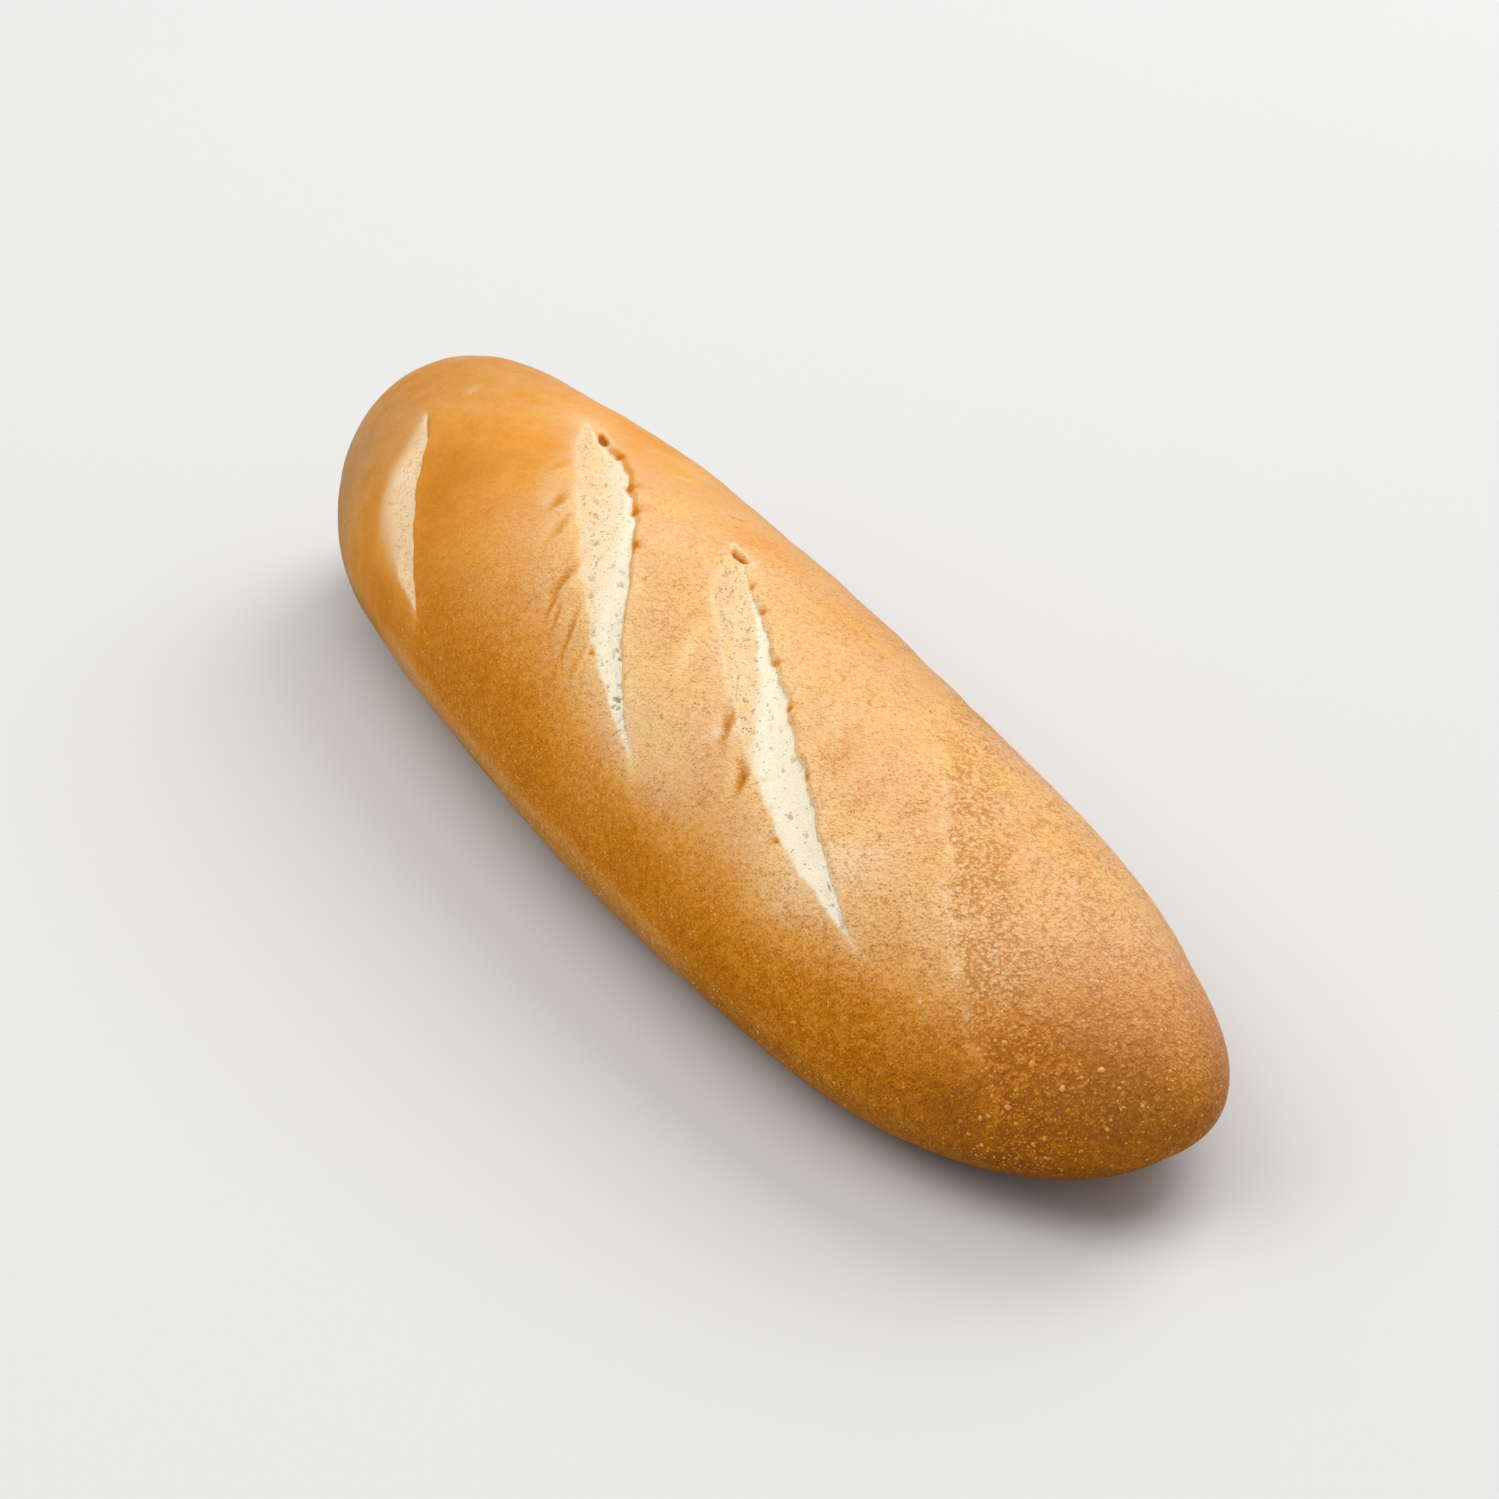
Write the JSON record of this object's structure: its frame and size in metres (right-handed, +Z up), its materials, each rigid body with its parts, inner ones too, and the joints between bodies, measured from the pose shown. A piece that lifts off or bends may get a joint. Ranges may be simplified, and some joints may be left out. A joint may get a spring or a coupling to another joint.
{
  "type": "baguette",
  "caption": "Short uncut baguette, golden crust with slanting open slashes across the top, rounded ends and a flat base that it rests on.",
  "frame": {"origin": "middle of the loaf's box at the surface that it rests on", "axes": "+X along the loaf towards its slim end, +Y across towards the lip side of the slashes, +Z up"},
  "size_m": [0.252, 0.0746, 0.051],
  "materials": {
    "crust": "dry golden baked crust, satin on the top and paler in the open slashes"
  },
  "bodies": {
    "root": {"loaf": "crust"}
  },
  "joints": []
}
